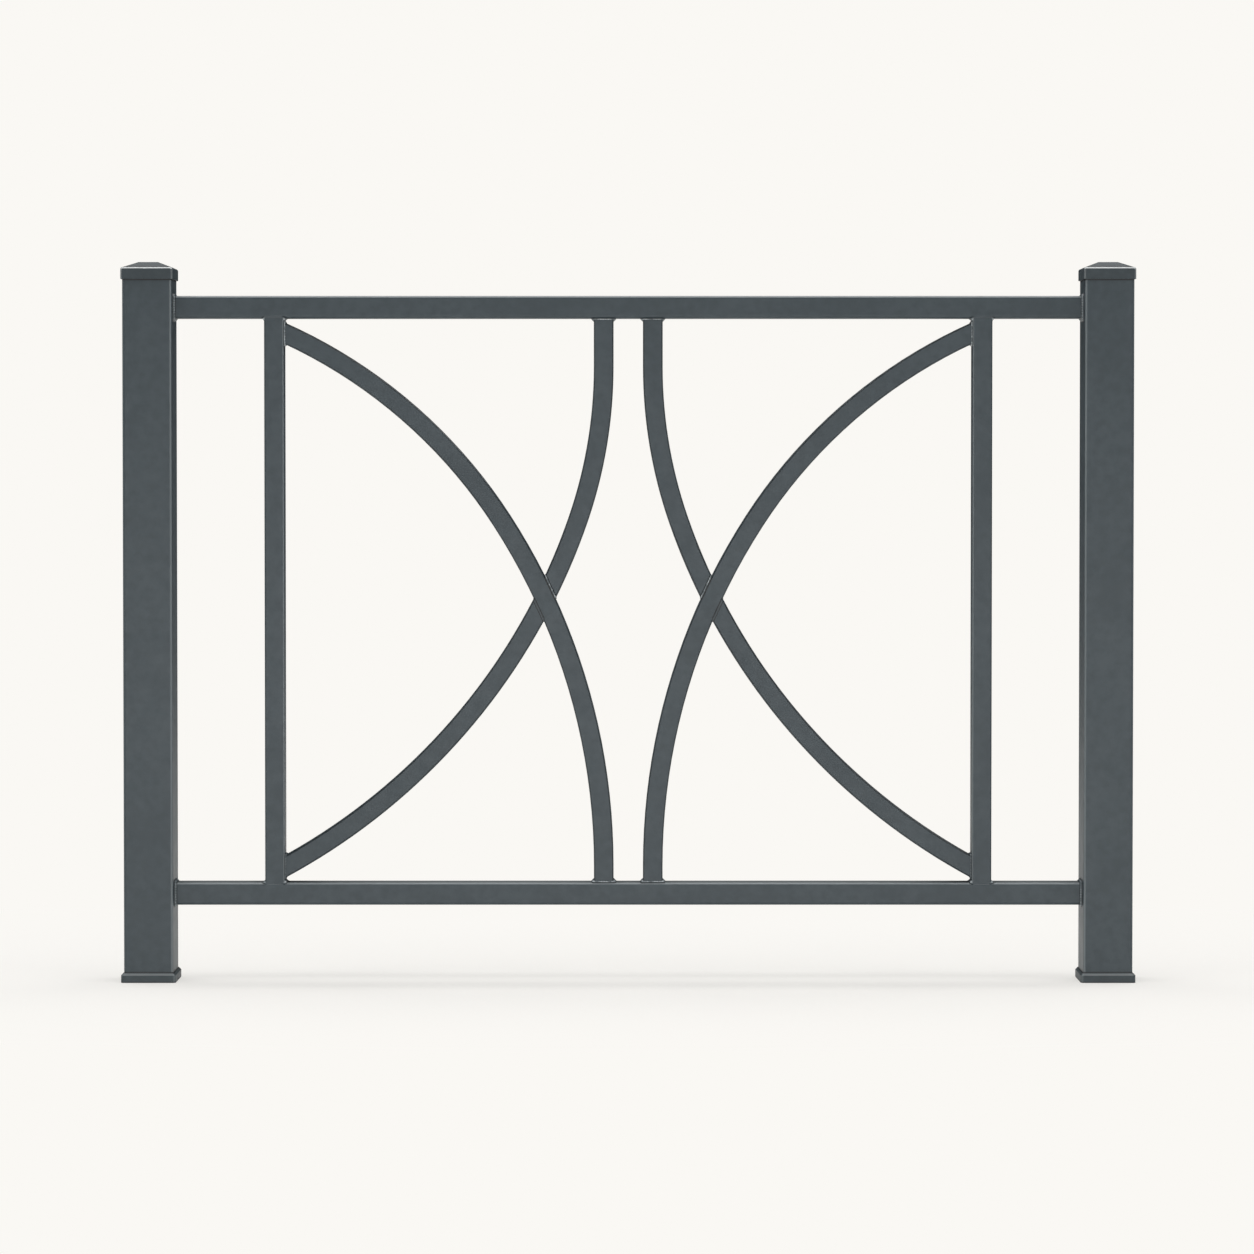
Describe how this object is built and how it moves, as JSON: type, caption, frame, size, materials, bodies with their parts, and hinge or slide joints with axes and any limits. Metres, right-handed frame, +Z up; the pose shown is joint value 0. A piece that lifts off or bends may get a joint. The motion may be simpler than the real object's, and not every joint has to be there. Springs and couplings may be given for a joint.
{
  "type": "street barrier",
  "caption": "Street railing panel: capped square posts on low feet, joined by rails, with upright pickets and crossing curved bars between them, welded and powder coated.",
  "frame": {"origin": "centre of the left foot's flat underside, on the ground", "axes": "+X along the panel to the right post, +Y to the back, +Z up"},
  "size_m": [1.443, 0.078, 1.0245],
  "materials": {
    "powder_coat": "satin"
  },
  "bodies": {
    "root": {"post_left": "powder_coat", "post_right": "powder_coat", "foot_left": "powder_coat", "foot_right": "powder_coat", "cap_left": "powder_coat", "cap_right": "powder_coat", "top_rail": "powder_coat", "bottom_rail": "powder_coat", "picket_left": "powder_coat", "picket_right": "powder_coat", "through_bow_left": "powder_coat", "through_bow_right": "powder_coat", "cut_bow_upper_left": "powder_coat", "cut_bow_upper_right": "powder_coat", "cut_bow_lower_left": "powder_coat", "cut_bow_lower_right": "powder_coat", "weld_top_rail_left": "powder_coat", "weld_top_rail_right": "powder_coat", "weld_bottom_rail_left": "powder_coat", "weld_bottom_rail_right": "powder_coat", "weld_picket_top_left": "powder_coat", "weld_picket_top_right": "powder_coat", "weld_picket_bottom_left": "powder_coat", "weld_picket_bottom_right": "powder_coat", "weld_bow_top_left": "powder_coat", "weld_bow_top_right": "powder_coat", "weld_bow_bottom_left": "powder_coat", "weld_bow_bottom_right": "powder_coat", "weld_picket_through_left": "powder_coat", "weld_picket_through_right": "powder_coat", "weld_picket_cut_left": "powder_coat", "weld_picket_cut_right": "powder_coat", "weld_crossing_upper_left": "powder_coat", "weld_crossing_upper_right": "powder_coat", "weld_crossing_lower_left": "powder_coat", "weld_crossing_lower_right": "powder_coat"}
  },
  "joints": []
}
